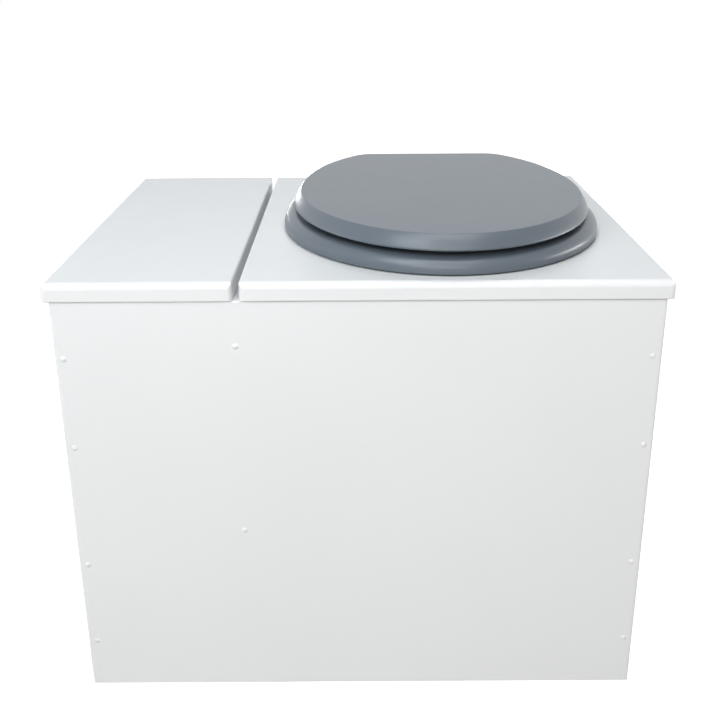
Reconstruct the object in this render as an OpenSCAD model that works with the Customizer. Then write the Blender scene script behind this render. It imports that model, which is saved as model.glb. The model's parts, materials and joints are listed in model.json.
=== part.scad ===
// Dry composting toilet: a painted wooden box with a bin for cover material at the left, a hinged
// board with a seat at the right, and a lift-out bucket under the seat.
// Front is -Y, left and right are as seen from the front, +Z is up. The origin is on the floor,
// under the middle of the two lids. All sizes are in millimetres.

/* [Box] */
// Width of the box over its side panels
body_w = 635; // [600:1:700]
// Height of the top of the seat board over the floor
seat_h = 496; // [480:1:540]
// Thickness of the panels of the box
panel_t = 20; // [16:0.5:22]
// Rounding of the upright edges of the front and back panels
panel_edge_r = 3; // [1:0.5:5]
// Rounding of the panels' top and bottom edges
panel_arris_r = 1.2; // [0.5:0.1:2]

/* [Bin] */
// Height of the partition between the bin and the bucket space
partition_h = 315; // [240:5:330]
// How far the middle of the partition lies left of the middle of the gap between the lids
partition_shift = 2.8; // [0:0.1:4]
// Thickness of the raised floor of the bin
bin_floor_t = 18; // [12:0.5:22]

/* [Lids] */
// Width of the bin lid
bin_lid_w = 196; // [180:1:220]
// Gap between the bin lid and the seat board
lids_gap = 6.5; // [4:0.5:10]
// Thickness of both lids
lid_t = 20; // [16:0.5:22]
// Height of the gap between the panels and the lids
lid_clear = 1.5; // [1.5:0.1:3]
// How far the lids reach past the sides of the box
lid_side_over = 7; // [4:0.5:12]
// How far the lids reach past the front of the box
lid_front_over = 2; // [1:0.5:15]
// How far the lids reach past the back of the box, over their hinges
lid_back_over = 9; // [8:0.5:15]
// Rounding of the lids' outer top edges
lid_edge_r = 7; // [4:0.5:9]
// Rounding of the lids' top edges beside the gap
gap_edge_r = 2.5; // [1:0.5:4]
// Rounding of the lids' corners, seen from above
lid_corner_r = 5; // [2:0.5:8]

/* [Screws] */
// Diameter of a panel screw's domed head
screw_head_d = 7; // [5:0.5:9]
// Height of a panel screw's domed head
screw_head_h = 1.2; // [0.8:0.1:2]
// Diameter of a panel screw's shank
screw_d = 4; // [3:0.5:5]
// Length of a panel screw under its head
screw_len = 45; // [35:1:60]
// Distance of the outer side screws from the panels' top and bottom edges
screw_end = 61; // [40:1:80]
// Distance of the inner side screws from the panels' top and bottom edges
screw_mid = 164; // [120:1:200]
// Distance of the partition's screws from its top and bottom edges
partition_screw_in = 48; // [30:0.5:70]

/* [Lid hinges] */
// Length of one butt hinge
hinge_len = 60; // [40:1:70]
// Width of a hinge leaf from the pin's axis
leaf_w = 30; // [24:1:36]
// Thickness of a hinge leaf
leaf_t = 1.2; // [0.8:0.1:1.2]
// Radius of the hinge knuckles
knuckle_r = 3; // [2.5:0.1:3.5]
// Diameter of the hinge pin
hinge_pin_d = 3; // [2:0.1:3.5]
// Distance of the seat board's hinges from the middle of the board
board_hinge_off = 140; // [100:1:170]
// Distance of the bin lid's hinges from the middle of the lid
bin_hinge_off = 48; // [40:1:55]

/* [Seat] */
// Width of the seat ring
ring_w = 380; // [350:1:390]
// Length of the seat ring from its widest line to its front
ring_front = 239.5; // [230:0.5:250]
// Thickness of the seat ring
ring_t = 19; // [16:0.5:22]
// Width of the seat lid
seat_lid_w = 354; // [330:1:360]
// Length of the seat lid from its widest line to its front
seat_lid_front = 243; // [220:0.5:250]
// Thickness of the seat lid
seat_lid_t = 17; // [14:0.5:22]
// Length of the seat from its widest line to its straight back edge
seat_back = 236; // [220:1:240]
// Length that the sides' oval would have behind the widest line if it were not cut straight
seat_oval_back = 280; // [270:1:320]
// Gap between the seat board and the ring
ring_gap = 2; // [2:0.5:6]
// Gap between the ring and the seat lid
seat_lid_gap = 6.5; // [5:0.5:10]
// Width of the opening in the ring
opening_w = 230; // [200:1:240]
// Length of the opening in the ring
opening_len = 290; // [260:1:300]
// Distance of the seat ring's front from the front edge of the seat board
seat_front_in = 16.5; // [4:0.5:20]
// Distance of the seat hinges' axis from the back edge of the seat board
seat_hinge_in = 43; // [43:1:65]
// Distance of the middle of the seat's opening in front of the seat's widest line
opening_fwd = 26; // [10:1:30]
// Distance of the seat to the left of the middle of the seat board
seat_left = 1.5; // [0:0.1:5]

/* [Seat hinges] */
// Distance between the two seat hinges
seat_hinge_gap = 155; // [130:1:170]
// Radius of a hinge post
post_r = 7; // [6:0.5:8]
// Diameter of a seat hinge pin
seat_pin_d = 6; // [5:0.5:7]
// Diameter of the stud that holds a hinge post
stud_d = 8; // [6:0.5:9]
// Thickness of the strap plates
strap_t = 1.6; // [1.2:0.1:1.6]
// Width of the strap plates
strap_w = 20; // [18:0.5:24]

/* [Bucket] */
// Radius of the bucket at its top
bucket_top_r = 157.5; // [150:0.5:160]
// Radius of the bucket at its base
bucket_base_r = 125; // [115:1:135]
// Height of the bucket
bucket_h = 340; // [320:1:345]
// Wall of the bucket
bucket_wall = 1; // [0.8:0.1:1.5]
// Radius of the bail's wire
bail_wire_r = 2.5; // [2:0.1:3]
// Radius of the bail's bow
bail_bow_r = 177; // [175:0.5:180]
// Radius of the bail's grip
grip_r = 9; // [7:0.5:10]

/* [Splash guard] */
// Radius of the splash guard under the board
guard_top_r = 131; // [128:0.5:133]
// Radius of the splash guard at its lower edge
guard_low_r = 106; // [104:0.5:110]
// Height of the splash guard
guard_h = 128; // [100:1:130]
// Sheet thickness of the splash guard
guard_t = 1; // [0.8:0.1:1.2]
// Part of a circle that the splash guard covers, in degrees
guard_arc = 150; // [120:5:160]

/* [Hidden] */
$fn = 64;

// Clearances: a running or drilled fit on the radius, a gap between neighbours that don't touch,
// and how far a cutting tool runs past the face that it opens
fit = 0.05;
rest_gap = 0.3;
play = 0.4;
cut = 1;

// Seat hinges' axis: how far it lies behind the seat's straight back edge and under the seat lid
seat_axis_back = 13;
seat_axis_down = 2;

// Box: the seat board is as deep as the seat with its hinges needs, and the box follows it
lids_w = body_w + 2 * lid_side_over;
lids_d = seat_front_in + ring_front + seat_back + seat_axis_back + seat_hinge_in;
panel_h = seat_h - lid_t - lid_clear;
front_panel_h = seat_h - lid_t - play;
side_x = body_w / 2;
front_y = lid_front_over - lids_d / 2;
back_y = lids_d / 2 - lid_back_over;
inner_w = body_w - 2 * panel_t;
inner_front = front_y + panel_t;
inner_back = back_y - panel_t;
inner_d = inner_back - inner_front;
lid_z = seat_h - lid_t;
bin_lid_x = -lids_w / 2;
board_x = bin_lid_x + bin_lid_w + lids_gap;
board_w = lids_w - bin_lid_w - lids_gap;
partition_x = board_x - lids_gap / 2 - partition_shift;
partition_z = panel_h - partition_h;
bin_floor_z = partition_z - bin_floor_t;
bin_floor_w = partition_x + panel_t / 2 + side_x - panel_t;

// Panel screws
side_screw_zs = [screw_end, screw_mid, panel_h - screw_mid, panel_h - screw_end];
partition_screw_zs = [partition_z + partition_screw_in, panel_h - partition_screw_in];
edge_x = side_x - panel_t / 2;
face_screws = concat(
  [for (side = [-1, 1], z = side_screw_zs) [side * edge_x, z]],
  [for (z = partition_screw_zs) [partition_x, z]]
);
base_screw_ys = [for (k = [-1, 0, 1]) (front_y + back_y) / 2 + k * inner_d / 3];

// Lid hinges
hinge_y = back_y + knuckle_r + play;
hinge_z = lid_z - knuckle_r - play;
knuckles = 5;
knuckle_len = hinge_len / knuckles;
leaf_top = knuckle_r + play;
leaf_screw_y = -(leaf_w + leaf_top) / 2;
leaf_screw_xs = [-hinge_len / 3, 0, hinge_len / 3];
leaf_screw_r = 1.5;
leaf_screw_head_r = 2.8;
leaf_screw_len = 14;
pin_head_r = 2.4;
pin_head_h = 1;
board_mid_x = board_x + board_w / 2;
bin_lid_mid_x = bin_lid_x + bin_lid_w / 2;
board_hinge_xs = [board_mid_x - board_hinge_off, board_mid_x + board_hinge_off];
bin_hinge_xs = [bin_lid_mid_x - bin_hinge_off, bin_lid_mid_x + bin_hinge_off];

// Buffers under the lids
buffer_r = 6;
buffer_h = lid_clear - rest_gap;
buffer_in = 24;
buffer_room = 1;
front_edge_y = front_y + panel_t / 2;
board_buffers = [
  [board_x + buffer_in, front_edge_y],
  [side_x - buffer_in, front_edge_y],
  [edge_x, 0]
];
bin_lid_buffers_at = [
  [bin_lid_x + lid_side_over + buffer_in, front_edge_y],
  [bin_lid_x + bin_lid_w - buffer_in, front_edge_y],
  [-edge_x, 0]
];

// Seat
seat_x = board_mid_x - seat_left;
seat_axis_y = lids_d / 2 - seat_hinge_in;
seat_y = seat_axis_y - seat_axis_back - seat_back;
ring_z = seat_h + ring_gap;
ring_top = ring_z + ring_t;
seat_lid_z = ring_top + seat_lid_gap;
opening_y = seat_y - opening_fwd;
hole_side = 10;
hole_r = opening_w / 2 + hole_side;
hole_half = (opening_len - opening_w) / 2;
outline_steps = 72;
corner_steps = 5;
corner_run = 15;
ring_rim_r = 14;
ring_lip_w = 14;
sharp_edge = 1.2;
rim_steps = 6;
lip_steps = 4;
lid_rim_low = 72;
lid_rim_top = 50;
seat_buffer_r = 8;

// Seat hinges
seat_axis_z = seat_lid_z - seat_axis_down;
seat_hinge_xs = [seat_x - seat_hinge_gap / 2, seat_x + seat_hinge_gap / 2];
post_top = 7;
foot_r = 12;
foot_h = 2.5;
eye_r = 5.5;
eye_w = 8;
eye_x = post_r + play;
seat_pin_half = eye_x + eye_w + play;
seat_pin_head_r = 4.2;
seat_pin_head_h = 1.2;
strap_reach = 58;
strap_back = 10.8;
strap_mid = eye_x + eye_w / 2;
strap_corner_r = 3;
strap_lap = 2;
strap_screw_r = 1.75;
strap_screw_head_r = 3.2;
strap_screw_len = 12;
strap_screw_in = 10;
strap_screw_step = 23;
strap_screw_ys = [-strap_reach + strap_screw_in, -strap_reach + strap_screw_in + strap_screw_step];
post_chamfer = 2;
stud_in = 14;
stud_end_gap = 1;
stud_out = 24;
stud_hole_play = 0.3;
washer_r = 12;
rubber_h = 3;
washer_h = 1.5;
washer_step = 1;
nut_r = 7.5;
nut_h = 9;
wing_reach = 17;
wing_t = 3;
wing_tip = 4;
wing_drop = 14;

// Splash guard, round the front end of the board's opening
guard_y = opening_y - hole_half;
guard_flange = 18;
guard_hem_r = 1.2;
guard_screw_turns = [-guard_arc / 3, 0, guard_arc / 3];
guard_screw_r = guard_top_r + guard_flange / 2;
guard_screw_head_h = 1;

// Bucket
bucket_x = seat_x;
bucket_y = opening_y;
bucket_z = panel_t + rest_gap;
bucket_foot = 6;
rim_r = 3;
rim_out = 2;
bead_r = 1.5;
bead_out = 0.8;
bead_zs = [60, 280];
bucket_slope = (bucket_top_r - bucket_base_r) / bucket_h;
ear_down = 30;
ear_z = bucket_z + bucket_h - ear_down;
ear_r = 8;
ear_out = 170;
ear_plate_w = 52;
ear_plate_h = 22;
ear_plate_t = 1.5;
rivet_r = 3.5;
rivet_off = 18;
rivet_head_h = 1.2;
bail_play = 0.08;
bail_end = 160;
bail_bend = 0.3;
grip_arc = 30;

// The bail rests with its grip at the bucket's wall, this far under level
ear_wall_r = bucket_base_r + bucket_slope * (bucket_h - ear_down);
bucket_tilt = atan(bucket_slope);
bail_rest = bucket_tilt + acos((ear_wall_r * cos(bucket_tilt) + grip_r + play) / bail_bow_r);

// A square corner's waste outside a rounding of radius r, with the corner at the origin
module corner_waste(r) {
  difference() {
    translate([-cut, -cut]) square(r + cut);
    translate([r, r]) circle(r);
  }
}

// Rectangle with roundings r = [bottom left, bottom right, top right, top left]
module soft_rect(w, h, r) {
  difference() {
    square([w, h]);
    if (r[0] > 0) corner_waste(r[0]);
    if (r[1] > 0) translate([w, 0]) mirror([1, 0]) corner_waste(r[1]);
    if (r[2] > 0) translate([w, h]) rotate(180) corner_waste(r[2]);
    if (r[3] > 0) translate([0, h]) mirror([0, 1]) corner_waste(r[3]);
  }
}

// The next two carry a flat shape along +Y (shape in x and z) and along +X (shape in y and z)
module along_y(len) {
  translate([0, len, 0]) rotate([90, 0, 0]) linear_extrude(len) children();
}

module along_x(len) {
  rotate([90, 0, 90]) linear_extrude(len) children();
}

// Panel screw at the origin: the head stands on z = 0 and the shank goes down
module panel_screw() {
  r = screw_head_d / 2;
  ball = (screw_head_h * screw_head_h + r * r) / (2 * screw_head_h);
  intersection() {
    translate([0, 0, screw_head_h - ball]) sphere(ball);
    cylinder(h = screw_head_h, r = r);
  }
  translate([0, 0, -screw_len]) cylinder(h = screw_len, d = screw_d);
}

module panel_screw_hole() {
  translate([0, 0, -screw_len - cut]) cylinder(h = screw_len + 2 * cut, r = screw_d / 2 + fit);
}

// Places for the panel screws: in the front, the back and the sides
module at_front_screws() {
  for (p = face_screws) translate([p[0], front_y, p[1]]) rotate([90, 0, 0]) children();
}

module at_back_screws() {
  for (p = face_screws) translate([p[0], back_y, p[1]]) rotate([-90, 0, 0]) children();
}

module at_side_screws() {
  for (y = base_screw_ys) {
    translate([-side_x, y, panel_t / 2]) rotate([0, -90, 0]) children();
    translate([side_x, y, panel_t / 2]) rotate([0, 90, 0]) children();
    translate([-side_x, y, bin_floor_z + bin_floor_t / 2]) rotate([0, -90, 0]) children();
  }
}

module at_bin_floor_screws() {
  for (y = base_screw_ys) translate([partition_x, y, bin_floor_z]) rotate([180, 0, 0]) children();
}

// Front panel or back panel of height h, with its outside towards -Y
module face_panel(h) {
  intersection() {
    linear_extrude(h) soft_rect(body_w, panel_t, [panel_edge_r, panel_edge_r, 0, 0]);
    along_x(body_w) soft_rect(panel_t, h, [panel_arris_r, 0, 0, panel_arris_r]);
  }
}

// The front panel reaches up to the lids, and their front buffers go into shallow seats in its top
module front_panel() {
  color("white") difference() {
    translate([-side_x, front_y, 0]) face_panel(front_panel_h);
    at_front_screws() panel_screw_hole();
    for (p = concat(board_buffers, bin_lid_buffers_at)) translate([p[0], p[1], panel_h])
      cylinder(h = lid_clear, r = buffer_r + buffer_room);
  }
}

module back_panel() {
  color("white") difference() {
    translate([side_x, back_y, 0]) rotate([0, 0, 180]) face_panel(panel_h);
    at_back_screws() panel_screw_hole();
    fixed_leaf_places() leaf_screw_hole();
  }
}

// Side panel with its outside towards -X
module side_panel() {
  along_y(inner_d) soft_rect(panel_t, panel_h, [panel_arris_r, 0, 0, panel_arris_r]);
}

module left_side_panel() {
  color("white") difference() {
    translate([-side_x, inner_front, 0]) side_panel();
    at_front_screws() panel_screw_hole();
    at_back_screws() panel_screw_hole();
    at_side_screws() panel_screw_hole();
  }
}

module right_side_panel() {
  color("white") difference() {
    translate([side_x, inner_back, 0]) rotate([0, 0, 180]) side_panel();
    at_front_screws() panel_screw_hole();
    at_back_screws() panel_screw_hole();
    at_side_screws() panel_screw_hole();
  }
}

module base_panel() {
  color("white") difference() {
    translate([-inner_w / 2, inner_front, 0]) cube([inner_w, inner_d, panel_t]);
    at_side_screws() panel_screw_hole();
  }
}

module partition_panel() {
  color("white") difference() {
    translate([partition_x - panel_t / 2, inner_front, partition_z])
      cube([panel_t, inner_d, partition_h]);
    at_front_screws() panel_screw_hole();
    at_back_screws() panel_screw_hole();
    at_bin_floor_screws() panel_screw_hole();
  }
}

module bin_floor() {
  color("white") difference() {
    translate([-inner_w / 2, inner_front, bin_floor_z]) cube([bin_floor_w, inner_d, bin_floor_t]);
    at_side_screws() panel_screw_hole();
    at_bin_floor_screws() panel_screw_hole();
  }
}

module front_screws() {
  color("white") at_front_screws() panel_screw();
}

module back_screws() {
  color("white") at_back_screws() panel_screw();
}

module side_screws() {
  color("white") at_side_screws() panel_screw();
}

module bin_floor_screws() {
  color("white") at_bin_floor_screws() panel_screw();
}

// One leaf of a butt hinge, its pin's axis on X: the plate lies towards -Y, and its top face is
// leaf_top above the axis. Knuckles alternate between the two leaves, and first says where they
// start.
module hinge_leaf(first) {
  low = leaf_top - leaf_t;
  difference() {
    union() {
      translate([-hinge_len / 2, -leaf_w, low]) cube([hinge_len, leaf_w - leaf_top, leaf_t]);
      for (k = [first : 2 : knuckles - 1]) translate([(k - knuckles / 2) * knuckle_len, 0, 0]) {
        translate([rest_gap / 2, -leaf_top - cut, low])
          cube([knuckle_len - rest_gap, leaf_top + cut, leaf_t]);
        translate([rest_gap / 2, 0, 0]) rotate([0, 90, 0])
          cylinder(h = knuckle_len - rest_gap, r = knuckle_r);
      }
    }
    rotate([0, 90, 0]) cylinder(h = hinge_len + 2 * cut, d = hinge_pin_d + 2 * fit, center = true);
    for (x = leaf_screw_xs) translate([x, leaf_screw_y, 0]) leaf_screw_hole();
  }
}

// Countersunk screw in a plate of thickness t under z = 0: its head is flush with the plate's
// underside and its shank goes up
module sunk_screw(t, head_r, r, len) {
  translate([0, 0, -t]) cylinder(h = t, r1 = head_r, r2 = r);
  cylinder(h = len, r = r);
}

module sunk_screw_hole(t, head_r, r, len) {
  translate([0, 0, -t - cut]) cylinder(h = cut, r = head_r + fit);
  sunk_screw(t, head_r + fit, r + fit, len + cut);
}

module leaf_screw() {
  translate([0, 0, leaf_top]) sunk_screw(leaf_t, leaf_screw_head_r, leaf_screw_r, leaf_screw_len);
}

module leaf_screw_hole() {
  translate([0, 0, leaf_top])
    sunk_screw_hole(leaf_t, leaf_screw_head_r, leaf_screw_r, leaf_screw_len);
}

module hinge_pin() {
  pin_len = hinge_len + 2 * rest_gap;
  rotate([0, 90, 0]) cylinder(h = pin_len, d = hinge_pin_d, center = true);
  for (side = [-1, 1]) translate([side * pin_len / 2, 0, 0]) rotate([0, side * 90, 0])
    cylinder(h = pin_head_h, r = pin_head_r);
}

module at_hinges(xs) {
  for (x = xs) translate([x, hinge_y, hinge_z]) children();
}

module fixed_leaf_places() {
  at_hinges(concat(board_hinge_xs, bin_hinge_xs)) rotate([90, 0, 0])
    for (x = leaf_screw_xs) translate([x, leaf_screw_y, 0]) children();
}

module moving_leaf_places(xs) {
  at_hinges(xs) for (x = leaf_screw_xs) translate([x, leaf_screw_y, 0]) children();
}

module board_hinge_fixed_leaves() {
  color("silver") at_hinges(board_hinge_xs) rotate([90, 0, 0]) hinge_leaf(0);
}

module board_hinge_pins() {
  color("silver") at_hinges(board_hinge_xs) hinge_pin();
}

module bin_hinge_fixed_leaves() {
  color("silver") at_hinges(bin_hinge_xs) rotate([90, 0, 0]) hinge_leaf(0);
}

module bin_hinge_pins() {
  color("silver") at_hinges(bin_hinge_xs) hinge_pin();
}

module fixed_leaf_screws() {
  color("silver") fixed_leaf_places() leaf_screw();
}

module board_hinge_moving_leaves() {
  color("silver") at_hinges(board_hinge_xs) hinge_leaf(1);
}

module board_leaf_screws() {
  color("silver") moving_leaf_places(board_hinge_xs) leaf_screw();
}

module bin_hinge_moving_leaves() {
  color("silver") at_hinges(bin_hinge_xs) hinge_leaf(1);
}

module bin_leaf_screws() {
  color("silver") moving_leaf_places(bin_hinge_xs) leaf_screw();
}

// A lid of width w, with the top roundings of its left and right edges and their corners
module lid_plate(w, left_r, right_r) {
  low = panel_arris_r;
  intersection() {
    along_y(lids_d) soft_rect(w, lid_t, [low, low, right_r, left_r]);
    along_x(w) soft_rect(lids_d, lid_t, [low, low, lid_edge_r, lid_edge_r]);
    linear_extrude(lid_t)
      soft_rect(w, lids_d, [lid_corner_r, lid_corner_r, lid_corner_r, lid_corner_r]);
  }
}

module seat_board() {
  color("white") difference() {
    translate([board_x, -lids_d / 2, lid_z]) lid_plate(board_w, gap_edge_r, lid_edge_r);
    translate([seat_x, opening_y, lid_z - cut]) linear_extrude(lid_t + 2 * cut) board_opening();
    moving_leaf_places(board_hinge_xs) leaf_screw_hole();
    for (x = seat_hinge_xs) translate([x, seat_axis_y, lid_z - cut])
      cylinder(h = lid_t + 2 * cut, r = stud_d / 2 + stud_hole_play);
    at_guard_screws() guard_screw_hole();
  }
}

// Long hole with round ends under the seat's opening
module board_opening() {
  for (side = [-1, 1]) translate([0, side * hole_half]) circle(hole_r);
  square([2 * hole_r, 2 * hole_half], center = true);
}

module bin_lid() {
  color("white") difference() {
    translate([bin_lid_x, -lids_d / 2, lid_z]) lid_plate(bin_lid_w, lid_edge_r, gap_edge_r);
    moving_leaf_places(bin_hinge_xs) leaf_screw_hole();
  }
}

module lid_buffer() {
  translate([0, 0, -buffer_h]) cylinder(h = buffer_h, r = buffer_r);
}

module seat_board_buffers() {
  color("gainsboro") for (p = board_buffers) translate([p[0], p[1], lid_z]) lid_buffer();
}

module bin_lid_buffers() {
  color("gainsboro") for (p = bin_lid_buffers_at) translate([p[0], p[1], lid_z]) lid_buffer();
}

// Seat outline, anticlockwise from above, round the middle of the widest line: half an oval of
// half width a and length front, then an oval of length seat_oval_back, cut straight at seat_back
// with curved corners
blend_y = seat_back - corner_run;
blend_t = asin(blend_y / seat_oval_back);

function oval_at(t, a, front) = [a * cos(t), (sin(t) < 0 ? front : seat_oval_back) * sin(t)];

function bezier(p, q, r, s) = (1 - s) * (1 - s) * p + 2 * s * (1 - s) * q + s * s * r;

function corner_at(a, s) =
  let (
    start = oval_at(blend_t, a, 0),
    slope = a * sin(blend_t) / (seat_oval_back * cos(blend_t)),
    mid = [start[0] - slope * corner_run, seat_back],
    end = [mid[0] - norm(mid - start), seat_back]
  )
  bezier(start, mid, end, s);

function seat_outline(a, front) = concat(
  [for (i = [0 : outline_steps])
    oval_at(180 - blend_t + i * (180 + 2 * blend_t) / outline_steps, a, front)],
  [for (i = [1 : corner_steps]) corner_at(a, i / corner_steps)],
  [for (i = [corner_steps : -1 : 1])
    let (p = corner_at(a, i / corner_steps)) [-p[0], p[1]]]
);

// Unit normal out of a closed anticlockwise outline at point i
function normal_at(p, i) =
  let (n = len(p), d = p[(i + 1) % n] - p[(i + n - 1) % n])
  [d[1], -d[0]] / norm(d);

// The outline drawn in by d, at height z
function inset(p, d, z) = [
  for (i = [0 : len(p) - 1]) let (q = p[i] - d * normal_at(p, i)) [q[0], q[1], z]
];

// The ring's opening, an oval that is met along the line from its middle to each outline point,
// widened by d, at height z
function opening_loop(p, d, z) = [
  for (q = p)
    let (
      v = q - [0, opening_y - seat_y],
      u = v / norm(v),
      r = 1 / norm([u[0] / (opening_w / 2), u[1] / (opening_len / 2)])
    )
    [u[0] * (r + d), u[1] * (r + d) + opening_y - seat_y, z]
];

// Triangles between m loops of n points each, closed from the last loop to the first if wrap
function loop_faces(m, n, wrap) = [
  for (i = [0 : m - (wrap ? 1 : 2)], k = [0 : n - 1])
    let (
      a = i * n + k,
      b = i * n + (k + 1) % n,
      c = ((i + 1) % m) * n + (k + 1) % n,
      d = ((i + 1) % m) * n + k
    )
    each [[a, d, c], [a, c, b]]
];

// Ring: a sharp lower edge, an upright side, a round-over, a flat top and a rolled inner lip
module seat_ring() {
  p = seat_outline(ring_w / 2, ring_front);
  rise = ring_t - sharp_edge;
  loops = concat(
    [inset(p, sharp_edge, 0), inset(p, 0, sharp_edge)],
    [for (i = [0 : rim_steps]) let (t = 90 * i / rim_steps)
      inset(p, ring_rim_r * (1 - cos(t)), ring_t - ring_rim_r * (1 - sin(t)))],
    [for (i = [0 : lip_steps]) let (t = 90 * i / lip_steps)
      opening_loop(p, ring_lip_w * (1 - sin(t)), sharp_edge + rise * cos(t))],
    [opening_loop(p, sharp_edge, 0)]
  );
  color("slategray") difference() {
    translate([seat_x, seat_y, ring_z])
      polyhedron([for (l = loops) each l], loop_faces(len(loops), len(p), true), 4);
    at_strap_screws(-1, ring_z) strap_screw_hole();
  }
}

// Lid: a sharp lower edge, and a rim that is part of a circle and meets the flat top in a crease.
// The rim leans lid_rim_low degrees from level at its lower edge and lid_rim_top at the crease.
module seat_lid() {
  p = seat_outline(seat_lid_w / 2, seat_lid_front);
  n = len(p);
  r = (seat_lid_t - sharp_edge) / (cos(lid_rim_top) - cos(lid_rim_low));
  loops = concat(
    [inset(p, sharp_edge, 0)],
    [for (i = [0 : rim_steps]) let (t = lid_rim_low + i * (lid_rim_top - lid_rim_low) / rim_steps)
      inset(p, r * (sin(lid_rim_low) - sin(t)), sharp_edge + r * (cos(t) - cos(lid_rim_low)))]
  );
  m = len(loops);
  caps = [[for (k = [0 : n - 1]) k], [for (k = [n - 1 : -1 : 0]) (m - 1) * n + k]];
  color("slategray") difference() {
    translate([seat_x, seat_y, seat_lid_z])
      polyhedron([for (l = loops) each l], concat(loop_faces(m, n, false), caps), 4);
    at_strap_screws(1, seat_lid_z) strap_screw_hole();
  }
}

// Buffers under the ring and the seat lid, at places given by half width and distance in front
// of the widest line
seat_buffer_places = [[-146, -62], [146, -62], [-134, 112], [134, 112]];

module seat_buffers(z, h) {
  for (p = seat_buffer_places) translate([seat_x + p[0], seat_y + p[1], z - h])
    cylinder(h = h, r = seat_buffer_r);
}

module ring_buffers() {
  color("dimgray") seat_buffers(ring_z, ring_gap - rest_gap);
}

module lid_buffers() {
  color("dimgray") seat_buffers(seat_lid_z, seat_lid_gap - rest_gap);
}

module at_seat_hinges() {
  for (x = seat_hinge_xs) translate([x, seat_axis_y, seat_axis_z]) children();
}

// Post with a foot, a cross hole for the pin and a blind hole for the stud
module seat_hinge_posts() {
  down = seat_axis_z - seat_h;
  color("silver") at_seat_hinges() difference() {
    union() {
      translate([0, 0, -down]) cylinder(h = foot_h, r = foot_r);
      translate([0, 0, -down]) cylinder(h = down + post_top - post_chamfer, r = post_r);
      translate([0, 0, post_top - post_chamfer])
        cylinder(h = post_chamfer, r1 = post_r, r2 = post_r - post_chamfer);
    }
    rotate([0, 90, 0]) cylinder(h = 2 * foot_r, d = seat_pin_d + 2 * fit, center = true);
    translate([0, 0, -down - cut]) cylinder(h = stud_in + cut, r = stud_d / 2 + fit);
  }
}

module seat_hinge_pins() {
  color("silver") at_seat_hinges() {
    rotate([0, 90, 0]) cylinder(h = 2 * seat_pin_half, d = seat_pin_d, center = true);
    for (side = [-1, 1]) translate([side * seat_pin_half, 0, 0]) rotate([0, side * 90, 0])
      cylinder(h = seat_pin_head_h, r = seat_pin_head_r);
  }
}

module seat_hinge_studs() {
  down = lid_t + stud_out;
  color("silver") for (x = seat_hinge_xs) translate([x, seat_axis_y, seat_h - down])
    cylinder(h = down + stud_in - stud_end_gap, d = stud_d);
}

module ring_disc(h, r, bore_r) {
  difference() {
    cylinder(h = h, r = r);
    translate([0, 0, -cut]) cylinder(h = h + 2 * cut, r = bore_r);
  }
}

// Rubber washers against the board, and steel washers under them
module rubber_washers() {
  color("dimgray") for (x = seat_hinge_xs) translate([x, seat_axis_y, lid_z - rubber_h])
    ring_disc(rubber_h, washer_r, stud_d / 2 + stud_hole_play);
}

module steel_washers() {
  color("silver") for (x = seat_hinge_xs) translate([x, seat_axis_y, lid_z - rubber_h - washer_h])
    ring_disc(washer_h, washer_r - washer_step, stud_d / 2 + stud_hole_play);
}

module wing_nuts() {
  top = lid_z - rubber_h - washer_h;
  root = nut_r - wing_t / 2;
  wing = [
    [root, -wing_t / 2], [root, -nut_h], [nut_r, -nut_h], [wing_reach - wing_tip / 2, -wing_drop],
    [wing_reach, -wing_drop + wing_tip], [nut_r, -wing_t / 2]
  ];
  color("silver") for (x = seat_hinge_xs) translate([x, seat_axis_y, top]) difference() {
    union() {
      translate([0, 0, -nut_h]) cylinder(h = nut_h, r = nut_r);
      for (turn = [0, 180]) rotate([0, 0, turn]) translate([0, -wing_t / 2, 0])
        along_y(wing_t) polygon(wing);
    }
    translate([0, 0, -nut_h - cut]) cylinder(h = nut_h + 2 * cut, r = stud_d / 2 + fit);
  }
}

// Strap plate seen from above, under a ring or a lid: side is -1 or 1 for the side of the post
module strap_plate(side, z) {
  x = side * strap_mid - strap_w / 2;
  translate([x, -strap_reach, z]) linear_extrude(strap_t) soft_rect(strap_w,
    strap_reach - strap_back - strap_lap, [strap_corner_r, strap_corner_r, 0, 0]);
}

module strap_eye(side) {
  translate([side * strap_mid - eye_w / 2, 0, 0]) rotate([0, 90, 0]) cylinder(h = eye_w, r = eye_r);
}

module strap_bore(side) {
  translate([side * strap_mid - eye_w, 0, 0]) rotate([0, 90, 0])
    cylinder(h = 2 * eye_w, r = seat_pin_d / 2 + fit);
}

// Strap screws under a ring or a lid whose underside lies at height z
module at_strap_screws(side, z) {
  at_seat_hinges() for (y = strap_screw_ys)
    translate([side * strap_mid, y, z - seat_axis_z]) children();
}

module strap_screw() {
  sunk_screw(strap_t, strap_screw_head_r, strap_screw_r, strap_screw_len);
}

module strap_screw_hole() {
  sunk_screw_hole(strap_t, strap_screw_head_r, strap_screw_r, strap_screw_len);
}

// Ring straps: a plate under the ring, a leg up its back edge, and an eye on the pin
module ring_straps() {
  z = ring_z - strap_t - seat_axis_z;
  front = -strap_back - strap_t;
  leg = [
    [front - strap_lap, z], [-strap_back, z], [-strap_back, -strap_t / 2], [0, -strap_t / 2],
    [0, strap_t / 2], [front, strap_t / 2], [front, z + strap_t], [front - strap_lap, z + strap_t]
  ];
  color("silver") difference() {
    at_seat_hinges() {
      strap_plate(-1, z);
      translate([-strap_mid - eye_w / 2, 0, 0]) along_x(eye_w) polygon(leg);
      strap_eye(-1);
    }
    at_seat_hinges() strap_bore(-1);
    at_strap_screws(-1, ring_z) strap_screw_hole();
  }
}

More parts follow.
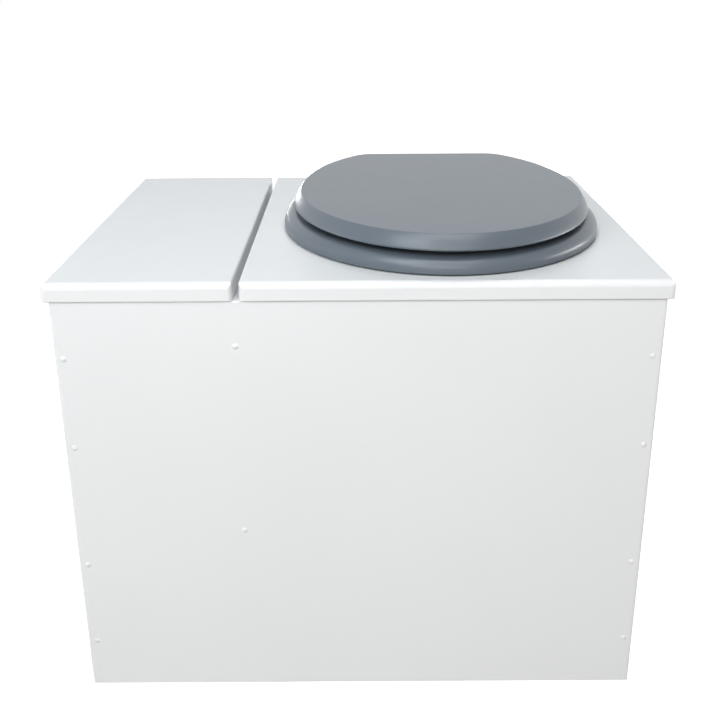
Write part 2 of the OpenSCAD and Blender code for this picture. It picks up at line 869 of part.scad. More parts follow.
// Lid straps: a plate under the lid that runs straight back to an eye on the pin
module lid_straps() {
  z = seat_lid_z - strap_t - seat_axis_z;
  color("silver") difference() {
    at_seat_hinges() {
      strap_plate(1, z);
      translate([strap_mid - eye_w / 2, -strap_back - 2 * strap_lap, z])
        cube([eye_w, strap_back + 2 * strap_lap, strap_t]);
      strap_eye(1);
    }
    at_seat_hinges() strap_bore(1);
    at_strap_screws(1, seat_lid_z) strap_screw_hole();
  }
}

module ring_strap_screws() {
  color("silver") at_strap_screws(-1, ring_z) strap_screw();
}

module lid_strap_screws() {
  color("silver") at_strap_screws(1, seat_lid_z) strap_screw();
}

// Splash guard: a bent sheet that tapers down into the bucket, with a flange under the board
// and a rolled hem at its lower edge
module splash_guard() {
  section = [
    [guard_low_r, -guard_h], [guard_low_r + guard_t, -guard_h], [guard_top_r + guard_t, -guard_t],
    [guard_top_r + guard_flange, -guard_t], [guard_top_r + guard_flange, 0], [guard_top_r, 0]
  ];
  color("silver") translate([seat_x, guard_y, lid_z]) difference() {
    rotate([0, 0, 270 - guard_arc / 2]) rotate_extrude(angle = guard_arc) {
      polygon(section);
      translate([guard_low_r + guard_t / 2, -guard_h]) circle(guard_hem_r);
    }
    for (turn = guard_screw_turns) rotate([0, 0, turn]) translate([0, -guard_screw_r, -guard_t - cut])
      cylinder(h = guard_t + 2 * cut, r = leaf_screw_r + fit);
  }
}

module at_guard_screws() {
  for (turn = guard_screw_turns) translate([seat_x, guard_y, lid_z - guard_t]) rotate([0, 0, turn])
    translate([0, -guard_screw_r, 0]) children();
}

module guard_screw() {
  translate([0, 0, -guard_screw_head_h]) cylinder(h = guard_screw_head_h, r = leaf_screw_head_r);
  cylinder(h = leaf_screw_len, r = leaf_screw_r);
}

module guard_screw_hole() {
  translate([0, 0, -cut]) cylinder(h = leaf_screw_len + 2 * cut, r = leaf_screw_r + fit);
}

module splash_guard_screws() {
  color("silver") at_guard_screws() guard_screw();
}

// Bucket: a tapered sheet wall on a foot ring, a base above it, two beads and a rolled rim
module bucket() {
  inner = bucket_base_r - bucket_wall;
  base_top = bucket_foot + bucket_wall;
  section = [
    [0, bucket_foot], [inner + bucket_slope * bucket_foot, bucket_foot], [inner, 0],
    [bucket_base_r, 0], [bucket_top_r, bucket_h], [bucket_top_r - bucket_wall, bucket_h],
    [inner + bucket_slope * base_top, base_top], [0, base_top]
  ];
  color("silver") translate([bucket_x, bucket_y, bucket_z]) rotate_extrude() {
    polygon(section);
    translate([bucket_top_r + rim_out, bucket_h - rim_r]) circle(rim_r);
    for (z = bead_zs) translate([bucket_base_r + bucket_slope * z + bead_out, z]) circle(bead_r);
  }
}

// The bucket's outside, grown by d
module bucket_cone(d) {
  translate([bucket_x, bucket_y, bucket_z])
    cylinder(h = bucket_h, r1 = bucket_base_r + d, r2 = bucket_top_r + d);
}

// Round bar from inside the bucket's wall out to x = reach, on the side of the ear
module ear_bar(side, y, reach, r) {
  translate([bucket_x, bucket_y + y, ear_z]) rotate([0, side * 90, 0]) translate([0, 0, bucket_base_r])
    cylinder(h = reach - bucket_base_r, r = r);
}

// Ears: plates riveted to the bucket's wall, with round bosses that the bail turns in
module bucket_ears() {
  rivet_reach = ear_wall_r + ear_plate_t + rivet_head_h;
  color("silver") for (side = [-1, 1]) difference() {
    union() {
      ear_bar(side, 0, ear_out, ear_r);
      for (y = [-rivet_off, rivet_off]) ear_bar(side, y, rivet_reach, rivet_r);
      intersection() {
        bucket_cone(fit + ear_plate_t);
        translate([bucket_x + side * bucket_base_r - bucket_base_r / 2, bucket_y - ear_plate_w / 2,
          ear_z - ear_plate_h / 2]) cube([bucket_base_r, ear_plate_w, ear_plate_h]);
      }
    }
    bucket_cone(fit);
    ear_bar(side, 0, ear_out + cut, bail_wire_r + bail_play);
  }
}

// The bail's own frame: bow towards -Y, then lowered to where it rests
module at_bail() {
  translate([bucket_x, bucket_y, ear_z]) rotate([bail_rest, 0, 0]) children();
}

module bucket_bail() {
  color("silver") at_bail() {
    rotate([0, 0, 180]) rotate_extrude(angle = 180) translate([bail_bow_r, 0]) circle(bail_wire_r);
    for (side = [-1, 1]) {
      translate([side * bail_bow_r, 0, 0]) sphere(bail_wire_r + bail_bend);
      translate([side * bail_end, 0, 0]) rotate([0, side * 90, 0])
        cylinder(h = bail_bow_r - bail_end, r = bail_wire_r);
    }
  }
}

module bail_grip() {
  color("dimgray") at_bail() rotate([0, 0, 270 - grip_arc / 2]) rotate_extrude(angle = grip_arc)
    translate([bail_bow_r, 0]) difference() {
      circle(grip_r);
      circle(bail_wire_r + bail_play);
    }
}

front_panel();
back_panel();
left_side_panel();
right_side_panel();
base_panel();
partition_panel();
bin_floor();
front_screws();
back_screws();
side_screws();
bin_floor_screws();
board_hinge_fixed_leaves();
board_hinge_pins();
bin_hinge_fixed_leaves();
bin_hinge_pins();
fixed_leaf_screws();
seat_board();
board_hinge_moving_leaves();
board_leaf_screws();
seat_board_buffers();
splash_guard();
splash_guard_screws();
seat_hinge_posts();
seat_hinge_pins();
seat_hinge_studs();
rubber_washers();
steel_washers();
wing_nuts();
bin_lid();
bin_hinge_moving_leaves();
bin_leaf_screws();
bin_lid_buffers();
seat_ring();
ring_straps();
ring_strap_screws();
ring_buffers();
seat_lid();
lid_straps();
lid_strap_screws();
lid_buffers();
bucket();
bucket_ears();
bucket_bail();
bail_grip();
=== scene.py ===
import json
import math
import bpy
import numpy as np
from mathutils import Matrix


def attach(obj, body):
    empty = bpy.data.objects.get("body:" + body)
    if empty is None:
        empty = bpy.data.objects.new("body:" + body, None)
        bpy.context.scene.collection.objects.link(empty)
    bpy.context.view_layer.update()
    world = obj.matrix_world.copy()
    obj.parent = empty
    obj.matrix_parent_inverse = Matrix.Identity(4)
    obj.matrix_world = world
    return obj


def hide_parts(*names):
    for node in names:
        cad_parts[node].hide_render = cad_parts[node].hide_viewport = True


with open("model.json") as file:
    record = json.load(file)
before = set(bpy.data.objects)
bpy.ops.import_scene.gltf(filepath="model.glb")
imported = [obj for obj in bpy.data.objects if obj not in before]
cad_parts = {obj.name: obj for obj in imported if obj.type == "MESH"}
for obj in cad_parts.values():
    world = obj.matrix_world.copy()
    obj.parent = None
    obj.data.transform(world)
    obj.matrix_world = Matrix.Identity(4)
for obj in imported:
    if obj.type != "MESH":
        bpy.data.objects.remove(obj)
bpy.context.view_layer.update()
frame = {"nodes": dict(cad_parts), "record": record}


nodes = frame["nodes"]
mm = 0.001


def newMaterial(name):
    mat = bpy.data.materials.new(name)
    mat.use_nodes = True
    tree = mat.node_tree
    shader = tree.nodes["Principled BSDF"]
    return mat, tree, shader


def link(tree, a, b):
    tree.links.new(a, b)


def mappedCoords(tree, scale=(1, 1, 1)):
    # Object coordinates, stretched
    coords = tree.nodes.new("ShaderNodeTexCoord")
    mapping = tree.nodes.new("ShaderNodeMapping")
    mapping.inputs["Scale"].default_value = scale
    link(tree, coords.outputs["Object"], mapping.inputs["Vector"])
    return mapping.outputs["Vector"]


def noise(tree, vector, scale, detail=2.0):
    n = tree.nodes.new("ShaderNodeTexNoise")
    n.inputs["Scale"].default_value = scale
    n.inputs["Detail"].default_value = detail
    n.inputs["Roughness"].default_value = 0.5
    link(tree, vector, n.inputs["Vector"])
    return n.outputs["Fac"]


def ramp(tree, fac, stops):
    # stops: list of (place, colour)
    r = tree.nodes.new("ShaderNodeValToRGB")
    while len(r.color_ramp.elements) < len(stops):
        r.color_ramp.elements.new(0.5)
    for element, (place, colour) in zip(r.color_ramp.elements, stops):
        element.position = place
        element.color = (*colour, 1.0)
    link(tree, fac, r.inputs["Fac"])
    return r.outputs["Color"]


noiseLow, noiseHigh = 0.3, 0.7      # between these lie nearly all values of a noise


def spread(tree, fac, low, high):
    # a noise value carried from its usual spread to low..high
    m = tree.nodes.new("ShaderNodeMapRange")
    m.inputs["From Min"].default_value = noiseLow
    m.inputs["From Max"].default_value = noiseHigh
    m.inputs["To Min"].default_value = low
    m.inputs["To Max"].default_value = high
    link(tree, fac, m.inputs["Value"])
    return m.outputs["Result"]


def bump(tree, height, distance, strength, under=None):
    b = tree.nodes.new("ShaderNodeBump")
    b.inputs["Distance"].default_value = distance
    b.inputs["Strength"].default_value = strength
    link(tree, height, b.inputs["Height"])
    if under is not None:
        link(tree, under, b.inputs["Normal"])
    return b.outputs["Normal"]


def mixedColour(tree, a, b, scale, vector):
    # two close colours laid over each other in soft clouds
    return ramp(tree, noise(tree, vector, scale), [(0.35, a), (0.65, b)])


paint = {
    "light": (0.783, 0.796, 0.802), "dark": (0.769, 0.782, 0.788),
    "cloud": 4.0, "stipple": 1500.0, "roll": 160.0,
    "rollDepth": 0.00006, "stippleDepth": 0.00003, "sheen": 30.0,
    "roughLow": 0.34, "roughHigh": 0.46, "shine": 0.4,
}


def paintMaterial(name, tint=1.0):
    # satin paint on smooth board: soft clouds of tone, fine stipple and the long wave of a roller
    mat, tree, shader = newMaterial(name)
    at = mappedCoords(tree)
    light = tuple(c * tint for c in paint["light"])
    dark = tuple(c * tint for c in paint["dark"])
    link(tree, mixedColour(tree, dark, light, paint["cloud"], at), shader.inputs["Base Color"])
    link(tree, spread(tree, noise(tree, at, paint["sheen"], 4.0), paint["roughLow"], paint["roughHigh"]),
         shader.inputs["Roughness"])
    wave = bump(tree, noise(tree, at, paint["roll"], 1.0), paint["rollDepth"], 0.5)
    link(tree, bump(tree, noise(tree, at, paint["stipple"], 2.0), paint["stippleDepth"], 0.5, wave),
         shader.inputs["Normal"])
    shader.inputs["Specular IOR Level"].default_value = paint["shine"]
    return mat


# The base colour is darker than the lacquer looks, because much of its light is reflection.
lacquer = {
    "light": (0.107, 0.131, 0.156), "dark": (0.104, 0.128, 0.152),
    "cloud": 9.0, "sheen": 40.0, "spray": 1800.0, "sprayDepth": 0.00002,
    "roughLow": 0.325, "roughHigh": 0.336, "shine": 0.47,
}


def lacquerMaterial(name):
    # satin grey lacquer: faint clouds and a very fine spray texture
    mat, tree, shader = newMaterial(name)
    at = mappedCoords(tree)
    link(tree, mixedColour(tree, lacquer["dark"], lacquer["light"], lacquer["cloud"], at),
         shader.inputs["Base Color"])
    sheen = noise(tree, at, lacquer["sheen"], 4.0)
    link(tree, spread(tree, sheen, lacquer["roughLow"], lacquer["roughHigh"]),
         shader.inputs["Roughness"])
    spray = noise(tree, at, lacquer["spray"], 2.0)
    link(tree, bump(tree, spray, lacquer["sprayDepth"], 0.5), shader.inputs["Normal"])
    shader.inputs["Specular IOR Level"].default_value = lacquer["shine"]
    return mat


def metalMaterial(name, light, dark, roughLow, roughHigh, stretch, grain=300.0, depth=0.00002):
    # brushed metal: noise drawn out along the brushing, as fine scratches and bands of tone
    mat, tree, shader = newMaterial(name)
    at = mappedCoords(tree, stretch)
    lines = noise(tree, at, grain, 3.0)
    link(tree, ramp(tree, lines, [(0.3, dark), (0.7, light)]), shader.inputs["Base Color"])
    soft = mappedCoords(tree)
    link(tree, spread(tree, noise(tree, soft, 25.0, 4.0), roughLow, roughHigh),
         shader.inputs["Roughness"])
    link(tree, bump(tree, lines, depth, 0.4), shader.inputs["Normal"])
    shader.inputs["Metallic"].default_value = 1.0
    return mat


def rubberMaterial(name, light, dark, rough=(0.6, 0.8), grain=900.0):
    # matte rubber or plastic: faint clouds and a fine grain
    mat, tree, shader = newMaterial(name)
    at = mappedCoords(tree)
    link(tree, mixedColour(tree, dark, light, 60.0, at), shader.inputs["Base Color"])
    link(tree, spread(tree, noise(tree, at, 120.0), *rough), shader.inputs["Roughness"])
    link(tree, bump(tree, noise(tree, at, grain, 3.0), 0.00005, 0.6), shader.inputs["Normal"])
    shader.inputs["Specular IOR Level"].default_value = 0.35
    return mat


whitePaint = paintMaterial("satinWhitePaint")
screwPaint = paintMaterial("paintedScrewHeads", 0.985)
greyLacquer = lacquerMaterial("satinGreyLacquer")
zincSteel = metalMaterial("zincPlatedSteel", (0.60, 0.61, 0.62), (0.50, 0.51, 0.53), 0.28, 0.42,
                          (1, 1, 1), 220.0)
bucketSteel = metalMaterial("brushedStainless", (0.64, 0.64, 0.63), (0.55, 0.55, 0.55), 0.22, 0.32,
                            (0.02, 0.02, 1.0), 900.0)
brightSteel = metalMaterial("chromedSteel", (0.72, 0.73, 0.74), (0.68, 0.69, 0.70), 0.08, 0.16,
                            (1, 1, 1), 400.0, 0.000005)
blackRubber = rubberMaterial("blackRubber", (0.030, 0.030, 0.032), (0.020, 0.020, 0.022))
gripPlastic = rubberMaterial("mouldedGripPlastic", (0.028, 0.028, 0.030), (0.020, 0.020, 0.021),
                             (0.42, 0.55), 600.0)
softBuffer = rubberMaterial("clearSoftBuffer", (0.72, 0.73, 0.72), (0.66, 0.67, 0.66), (0.3, 0.45))
print("materials made")

slotMaterials = {
    "white_paint": whitePaint, "painted_screws": screwPaint, "hinge_steel": zincSteel,
    "clear_buffers": softBuffer, "stainless": bucketSteel, "seat_fittings": brightSteel,
    "rubber": blackRubber, "seat_lacquer": greyLacquer, "grip_plastic": gripPlastic,
}
for row in frame["record"]["subparts"]:
    node = nodes[row["node"]]
    for i in range(len(node.material_slots)):
        node.material_slots[i].material = slotMaterials[row["material_slot"]]
    if not node.material_slots:
        node.data.materials.append(slotMaterials[row["material_slot"]])


def addSurface(name, points, faces, material, body, smoothAngle):
    # points in metres, faces as lists of point numbers; creases sharper than smoothAngle stay crisp
    mesh = bpy.data.meshes.new(name)
    mesh.from_pydata(points.tolist(), [], faces)
    mesh.polygons.foreach_set("use_smooth", [True] * len(mesh.polygons))
    mesh.set_sharp_from_angle(angle=math.radians(smoothAngle))
    mesh.materials.append(material)
    mesh.update()
    piece = bpy.data.objects.new(name, mesh)
    bpy.context.scene.collection.objects.link(piece)
    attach(piece, body)
    return piece


def gridFaces(rows, cols, wrapRows=False):
    # quads between neighbouring rows of points, each row closed on itself
    r = np.arange(rows if wrapRows else rows - 1)
    c = np.arange(cols)
    r, c = np.meshgrid(r, c, indexing="ij")
    r2, c2 = (r + 1) % rows, (c + 1) % cols
    quads = np.stack([r * cols + c, r * cols + c2, r2 * cols + c2, r2 * cols + c], -1)
    return quads.reshape(-1, 4).tolist()


seat = {
    "x": 99.75, "y": -18.0, "ringZ": 498.0, "lidZ": 523.5,
    "back": 236.0, "ovalBack": 280.0, "cornerRun": 15.0,
    "ringWidth": 380.0, "ringFront": 239.5, "ringThick": 19.0, "ringRound": 14.0,
    "ringLip": 14.0, "ringEdge": 1.2,
    "lidWidth": 354.0, "lidFront": 243.0, "lidThick": 17.0,
    "rimLow": 72.0, "rimTop": 50.0, "lidEdge": 2.0, "creaseRound": 1.2,
    "creaseFlat": 1.5, "lidMiddle": -8.0,
    "openingFwd": 26.0, "openingWidth": 230.0, "openingLength": 290.0,
    "steps": 480,
}


def seatOutline(halfWidth, front, count):
    # Anticlockwise: half an oval of the given half width and front length, then an oval of length
    # ovalBack cut straight at the back, with corners that follow a parabola. The points are spread
    # evenly along the line.
    blend = math.asin((seat["back"] - seat["cornerRun"]) / seat["ovalBack"])
    t = np.linspace(math.pi - blend, 2 * math.pi + blend, 2400)
    length = np.where(np.sin(t) < 0, front, seat["ovalBack"])
    oval = np.stack([halfWidth * np.cos(t), length * np.sin(t)], 1)
    start = oval[-1]
    slope = halfWidth * math.sin(blend) / (seat["ovalBack"] * math.cos(blend))
    middle = np.array([start[0] - slope * seat["cornerRun"], seat["back"]])
    end = np.array([middle[0] - np.linalg.norm(middle - start), seat["back"]])
    s = np.linspace(0, 1, 120)[:, None]
    right = (1 - s) ** 2 * start + 2 * s * (1 - s) * middle + s ** 2 * end
    left = right[::-1] * [-1, 1]
    across = np.linspace(0, 1, 120)[:, None]
    straight = end + across * (np.array([-end[0], end[1]]) - end)
    line = np.concatenate([oval[:-1], right[:-1], straight[:-1], left[:-1]])
    closed = np.concatenate([line, line[:1]])
    run = np.concatenate([[0], np.cumsum(np.linalg.norm(np.diff(closed, axis=0), axis=1))])
    at = np.linspace(0, run[-1], count, endpoint=False)
    return np.stack([np.interp(at, run, closed[:, k]) for k in (0, 1)], 1)


def outwards(line):
    # unit normals out of a closed anticlockwise line
    d = np.roll(line, -1, 0) - np.roll(line, 1, 0)
    n = np.stack([d[:, 1], -d[:, 0]], 1)
    return n / np.linalg.norm(n, axis=1)[:, None]


def insetLoops(line, insets, heights):
    # the line drawn in by each inset and set at each height: (loops, points, 3)
    n = outwards(line)
    flat = line[None] - insets[:, None, None] * n[None]
    z = np.broadcast_to(heights[:, None, None], flat.shape[:2] + (1,))
    return np.concatenate([flat, z], 2)


def arc(start, stop, radius, count, inset=0.0, height=0.0):
    # Part of a rim's section that starts at an inset and a height. Its outward normal leans from
    # start to stop degrees from straight up.
    lean = np.radians(np.linspace(start, stop, count))
    return (inset + radius * (np.sin(lean[0]) - np.sin(lean)),
            height + radius * (np.cos(lean) - np.cos(lean[0])))


def section(parts):
    # arcs (start, stop, radius, count) and straight runs (inset, height) set end to end
    insets, heights = [parts[0][0]], [parts[0][1]]
    for part in parts[1:]:
        if len(part) == 2:
            more = [insets[-1] + part[0]], [heights[-1] + part[1]]
        else:
            more = arc(*part, insets[-1], heights[-1])
            more = more[0][1:], more[1][1:]
        insets, heights = np.append(insets, more[0]), np.append(heights, more[1])
    return insets, heights


def ringPoints():
    # Ring: round lower edge, upright side, round-over, flat top, quarter-oval lip into the opening
    # and a round lower edge again. The opening is met along the line from its middle.
    line = seatOutline(seat["ringWidth"] / 2, seat["ringFront"], seat["steps"])
    e, r, rise = seat["ringEdge"], seat["ringRound"], seat["ringThick"] - seat["ringEdge"]
    outer = insetLoops(line, *section([
        (e, 0.0), (180, 90, e, 6), (0.0, rise - r), (90, 0, r, 24)]))
    mid = np.array([0.0, -seat["openingFwd"]])
    ray = line - mid
    ray /= np.linalg.norm(ray, axis=1)[:, None]
    reach = 1 / np.hypot(ray[:, 0] / (seat["openingWidth"] / 2),
                         ray[:, 1] / (seat["openingLength"] / 2))
    lip, under = np.radians(np.linspace(0, 90, 14)), np.radians(np.linspace(18, 90, 5))
    widen = np.concatenate([seat["ringLip"] * (1 - np.sin(lip)), e * (1 - np.cos(under))])
    z = np.concatenate([e + rise * np.cos(lip), e * (1 - np.sin(under))])
    flat = mid + ray[None] * (reach[None] + widen[:, None])[..., None]
    inner = np.concatenate([flat, np.broadcast_to(z[:, None, None], flat.shape[:2] + (1,))], 2)
    top = between(outer[-1], inner[0], [0.04, 0.3, 0.6, 0.96])
    floor = between(inner[-1], outer[0], [0.03, 0.5, 0.97])
    return np.concatenate([outer, top, inner, floor])


def between(first, last, shares):
    # loops of points part of the way from one loop to another
    return first[None] + np.array(shares)[:, None, None] * (last - first)[None]


def lidPoints():
    # Lid: round lower edge, rim that is part of a circle, a crease with a small round, and a flat
    # top and underside that close on their middle
    line = seatOutline(seat["lidWidth"] / 2, seat["lidFront"], seat["steps"])
    e, c, low, top = seat["lidEdge"], seat["creaseRound"], seat["rimLow"], seat["rimTop"]
    cosLow, cosTop = math.cos(math.radians(low)), math.cos(math.radians(top))
    radius = (seat["lidThick"] - e * (1 + cosLow) - c * (1 - cosTop)) / (cosTop - cosLow)
    loops = insetLoops(line, *section([
        (e, 0.0), (180, low, e, 12), (low, top, radius, 20), (top, 0, c, 7), (seat["creaseFlat"], 0.0)]))
    middle = np.array([0.0, seat["lidMiddle"], 0.0])
    crown = between(loops[-1], middle + [0, 0, seat["lidThick"]] + 0 * loops[-1],
                    [0.1, 0.25, 0.4, 0.55, 0.7, 0.85, 0.97])
    base = between(middle + 0 * loops[0], loops[0], [0.03, 0.5, 0.9, 0.99])
    return np.concatenate([base, loops, crown])


def addSeatPiece(name, points, z, closedRing, body, node):
    rows, cols = points.shape[:2]
    flat = (points.reshape(-1, 3) + [seat["x"], seat["y"], z]) * mm
    faces = gridFaces(rows, cols, wrapRows=closedRing)
    if not closedRing:
        faces += [list(range(cols))[::-1], list(range((rows - 1) * cols, rows * cols))]
    piece = addSurface(name, flat, faces, greyLacquer, body, 35.0)
    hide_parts(node)


addSeatPiece("seatRing", ringPoints(), seat["ringZ"], True, "ring", "seat_ring")
addSeatPiece("seatLid", lidPoints(), seat["lidZ"], False, "cover", "seat_lid")
print("seat made")

stud = {
    "xs": (22.25, 177.25), "y": 231.0, "bottom": 452.0, "top": 509.0,
    "radius": 4.0, "pitch": 1.25, "depth": 0.62, "crest": 0.14, "root": 0.86, "chamfer": 0.9,
    "perTurn": 10, "around": 40,
}


def addStuds():
    # Threaded rod: the radius falls from crest to root with the distance between height and turn
    # counted in pitches, with straight flanks, and both ends are chamfered.
    rows = int((stud["top"] - stud["bottom"]) / stud["pitch"] * stud["perTurn"])
    z = np.linspace(stud["bottom"], stud["top"], rows)[:, None]
    turn = np.linspace(0, 1, stud["around"], endpoint=False)[None]
    share = np.abs(2 * ((z / stud["pitch"] - turn) % 1.0) - 1)
    flank = np.clip((share - stud["crest"]) / (stud["root"] - stud["crest"]), 0, 1)
    end = np.minimum(z - stud["bottom"], stud["top"] - z)
    most = stud["radius"] - np.clip(stud["chamfer"] - end, 0, None)
    radius = np.minimum(stud["radius"] - stud["depth"] * flank, most)
    angle = 2 * math.pi * turn
    one = np.stack([radius * np.cos(angle), radius * np.sin(angle), z + 0 * angle], -1)
    points = [one.reshape(-1, 3) + [x, stud["y"], 0.0] for x in stud["xs"]]
    faces = gridFaces(rows, stud["around"])
    faces += [list(range(stud["around"]))[::-1],
              list(range((rows - 1) * stud["around"], rows * stud["around"]))]
    both = faces + [[i + rows * stud["around"] for i in face] for face in faces]
    piece = addSurface("seatStuds", np.concatenate(points) * mm, both, brightSteel, "board",
                       25.0)
    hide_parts("seat_hinge_studs")


grip = {
    "centre": (99.75, -44.0, 330.3), "lean": 28.125, "bow": 177.0, "arc": 30.0,
    "radius": 9.0, "bore": 2.58, "endRound": 2.2, "ribs": 15, "ribDepth": 0.8, "plainEnd": 9.0,
    "fade": 4.0, "rows": 420, "boreRows": 40, "around": 48,
}


def addGrip():
    # Moulded grip on the wire: a bent round bar with shallow waves as finger ribs, that fade out
    # towards its rounded ends, and a bore for the wire. Rows run along the bow.
    half = grip["bow"] * math.radians(grip["arc"]) / 2
    along = np.linspace(-half, half, grip["rows"])
    fromEnd = half - np.abs(along)
    wave = 0.5 - 0.5 * np.cos(2 * math.pi * grip["ribs"] * (along + half) / (2 * half))
    fade = np.clip((fromEnd - grip["plainEnd"]) / grip["fade"], 0, 1)
    drop = np.clip(grip["endRound"] - fromEnd, 0, None)
    rounding = grip["endRound"] - np.sqrt(np.clip(grip["endRound"] ** 2 - drop ** 2, 0, None))
    outer = grip["radius"] - grip["ribDepth"] * wave * fade - rounding
    bore = np.full(grip["boreRows"], grip["bore"])
    radius = np.concatenate([outer, bore])
    place = np.concatenate([along, np.linspace(half, -half, grip["boreRows"])])
    straightDown = math.radians(270)
    phi = straightDown + place / grip["bow"]
    psi = np.linspace(0, 2 * math.pi, grip["around"], endpoint=False)
    reach = grip["bow"] + radius[:, None] * np.cos(psi)
    flat = np.stack([reach * np.cos(phi)[:, None], reach * np.sin(phi)[:, None],
                     radius[:, None] * np.sin(psi)], -1).reshape(-1, 3)
    c, s = math.cos(math.radians(grip["lean"])), math.sin(math.radians(grip["lean"]))
    turned = flat @ np.array([[1, 0, 0], [0, c, s], [0, -s, c]]) + grip["centre"]
    faces = gridFaces(len(radius), grip["around"], wrapRows=True)
    piece = addSurface("bailGrip", turned * mm, [face[::-1] for face in faces], gripPlastic,
                       "bail", 35.0)
    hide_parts("bail_grip")


addStuds()
addGrip()
print("studs and grip made")

studio = {
    # what the floor shows to the camera, a mirror or glass (1 is white), what it throws back
    # as light, and half its width
    "floorShine": 1.05, "floorTone": (0.28, 0.26, 0.23), "floorHalf": 6.0,
    # weak light that falls on things from all round
    "sky": (0.97, 0.985, 1.0), "skyStrength": 0.03,
    # Place, what it points at, size, power in watts, colour. The three fills stand lower than the
    # lids: they light the box's sides and back, and the seat's rim a little.
    "lamps": {
        "frontLow": (
            (-0.36, -3.12, 1.02), (0.1, -0.2, 0.5), (2.7, 0.9), 34.0, (1.035, 1.000, 0.990)),
        "frontMiddle": (
            (-0.11, -2.65, 2.22), (0.1, -0.2, 0.5), (2.7, 0.9), 15.5, (1.010, 1.000, 1.000)),
        "frontUpper": (
            (0.04, -1.40, 2.58), (0.1, -0.2, 0.5), (2.2, 0.7), 27.0, (0.990, 1.000, 0.985)),
        "leftSoftbox": (
            (-1.58, -2.07, 2.13), (0.0, -0.2, 0.4), (1.5, 1.5), 37.0, (0.930, 1.000, 1.070)),
        "backSoftbox": (
            (0.10, 1.30, 3.10), (0.0, 0.0, 0.4), (1.8, 1.2), 23.0, (0.950, 1.000, 1.060)),
        "backFill": (
            (0.00, 3.00, 0.25), (0.0, 0.0, 0.2), (2.4, 0.4), 36.0, (1.000, 1.000, 1.000)),
        "rightFill": (
            (3.00, 0.50, 0.25), (0.0, 0.1, 0.2), (2.0, 0.4), 34.0, (1.000, 1.000, 1.000)),
        "leftFill": (
            (-3.00, 0.50, 0.25), (0.0, 0.1, 0.2), (2.0, 0.4), 22.0, (1.000, 1.000, 1.000)),
    },
}


def seenDirectly(tree):
    # 1 for the camera, a mirror or glass that looks at the surface, 0 for light that falls on things
    path = tree.nodes.new("ShaderNodeLightPath")
    seen = path.outputs["Is Camera Ray"]
    for other in ("Is Glossy Ray", "Is Transmission Ray"):
        most = tree.nodes.new("ShaderNodeMath")
        most.operation = "MAXIMUM"
        link(tree, seen, most.inputs[0])
        link(tree, path.outputs[other], most.inputs[1])
        seen = most.outputs[0]
    return seen


def addFloor():
    # The floor throws light back in a mid grey, and where it is seen it adds a full white, which
    # covers the object's shadow too.
    half = studio["floorHalf"]
    mesh = bpy.data.meshes.new("floor")
    mesh.from_pydata([(-half, -half, 0), (half, -half, 0), (half, half, 0), (-half, half, 0)], [],
                     [(0, 1, 2, 3)])
    mat, tree, shader = newMaterial("paleFloor")
    shader.inputs["Base Color"].default_value = (*studio["floorTone"], 1)
    shader.inputs["Roughness"].default_value = 0.9
    shader.inputs["Specular IOR Level"].default_value = 0.1
    glow = tree.nodes.new("ShaderNodeEmission")
    glow.inputs["Strength"].default_value = studio["floorShine"]
    none = tree.nodes.new("ShaderNodeEmission")
    none.inputs["Strength"].default_value = 0.0
    chosen = tree.nodes.new("ShaderNodeMixShader")
    link(tree, seenDirectly(tree), chosen.inputs["Fac"])
    link(tree, none.outputs[0], chosen.inputs[1])
    link(tree, glow.outputs[0], chosen.inputs[2])
    total = tree.nodes.new("ShaderNodeAddShader")
    link(tree, shader.outputs[0], total.inputs[0])
    link(tree, chosen.outputs[0], total.inputs[1])
    link(tree, total.outputs[0], tree.nodes["Material Output"].inputs["Surface"])
    mesh.materials.append(mat)
    floor = bpy.data.objects.new("floor", mesh)
    bpy.context.scene.collection.objects.link(floor)


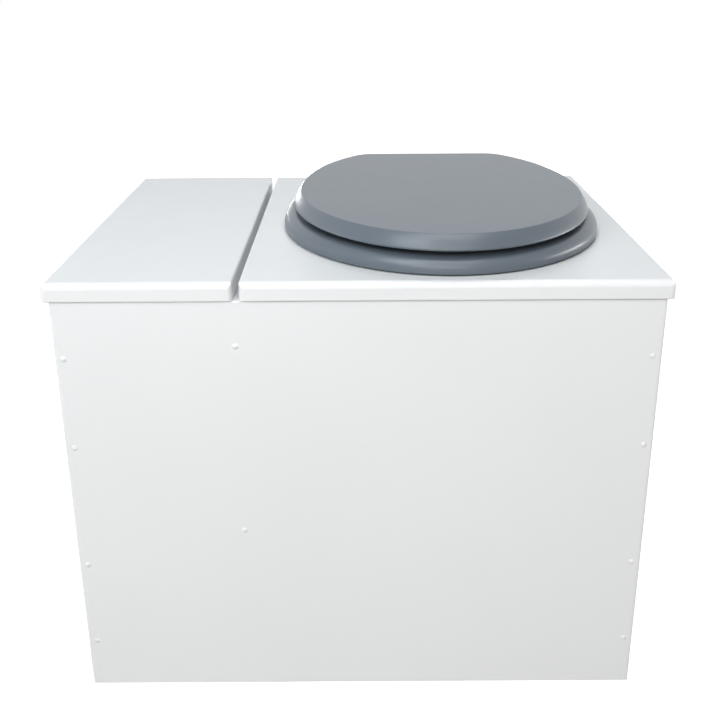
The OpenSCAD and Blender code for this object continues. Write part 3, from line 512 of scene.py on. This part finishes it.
def makeWorld():
    # weak light for the object, plain white where the camera, a mirror or glass looks at the sky
    world = bpy.data.worlds.new("paleStudio")
    bpy.context.scene.world = world
    world.use_nodes = True
    tree = world.node_tree
    for n in list(tree.nodes):
        tree.nodes.remove(n)
    out = tree.nodes.new("ShaderNodeOutputWorld")
    light = tree.nodes.new("ShaderNodeBackground")
    light.inputs["Color"].default_value = (*studio["sky"], 1)
    light.inputs["Strength"].default_value = studio["skyStrength"]
    white = tree.nodes.new("ShaderNodeBackground")
    white.inputs["Color"].default_value = (1, 1, 1, 1)
    white.inputs["Strength"].default_value = 1.0
    mix = tree.nodes.new("ShaderNodeMixShader")
    link(tree, seenDirectly(tree), mix.inputs["Fac"])
    link(tree, light.outputs[0], mix.inputs[1])
    link(tree, white.outputs[0], mix.inputs[2])
    link(tree, mix.outputs[0], out.inputs["Surface"])


def addLamp(name, place, target, size, power, colour):
    # a rectangle of light, turned so that it faces its target
    data = bpy.data.lights.new(name, "AREA")
    data.shape = "RECTANGLE"
    data.size, data.size_y = size
    data.energy = power
    data.color = colour
    lamp = bpy.data.objects.new(name, data)
    bpy.context.scene.collection.objects.link(lamp)
    lamp.location = place
    away = np.array(place, float) - np.array(target, float)
    lamp.rotation_euler = (
        math.atan2(math.hypot(away[0], away[1]), away[2]), 0.0,
        math.atan2(away[0], -away[1]))


# as solved from the photograph: pixels, millimetres and radians
view = {
    "focal": 1030.744, "pixels": 720.0, "sensor": 36.0,
    "place": (2.55, -1275.80, 801.75), "pitch": 0.371409, "yaw": 0.000947, "roll": -0.006148,
}


def addCamera():
    # looks along +Y, tilted down by pitch, then yaw about Z, then roll about the view line
    cp, sp = math.cos(view["pitch"]), math.sin(view["pitch"])
    cy, sy = math.cos(view["yaw"]), math.sin(view["yaw"])
    turn = np.array([[cy, -sy, 0], [sy, cy, 0], [0, 0, 1]])
    ahead, up, right = turn @ [0, cp, -sp], turn @ [0, sp, cp], turn @ [1, 0, 0]
    cr, sr = math.cos(view["roll"]), math.sin(view["roll"])
    right, up = cr * right + sr * up, -sr * right + cr * up
    data = bpy.data.cameras.new("photoCamera")
    data.sensor_fit = "HORIZONTAL"
    data.sensor_width = view["sensor"]
    data.lens = view["focal"] / view["pixels"] * view["sensor"]
    data.clip_start, data.clip_end = 0.01, 50.0
    camera = bpy.data.objects.new("photoCamera", data)
    bpy.context.scene.collection.objects.link(camera)
    matrix = np.eye(4)
    matrix[:3, 0], matrix[:3, 1], matrix[:3, 2] = right, up, -ahead
    matrix[:3, 3] = np.array(view["place"]) * mm
    camera.matrix_world = Matrix(matrix.tolist())
    bpy.context.scene.camera = camera


addFloor()
makeWorld()
for name, (place, target, size, power, colour) in studio["lamps"].items():
    addLamp(name, place, target, size, power, colour)
addCamera()
bpy.context.scene.view_settings.view_transform = "Standard"
print("stage, light and camera made")
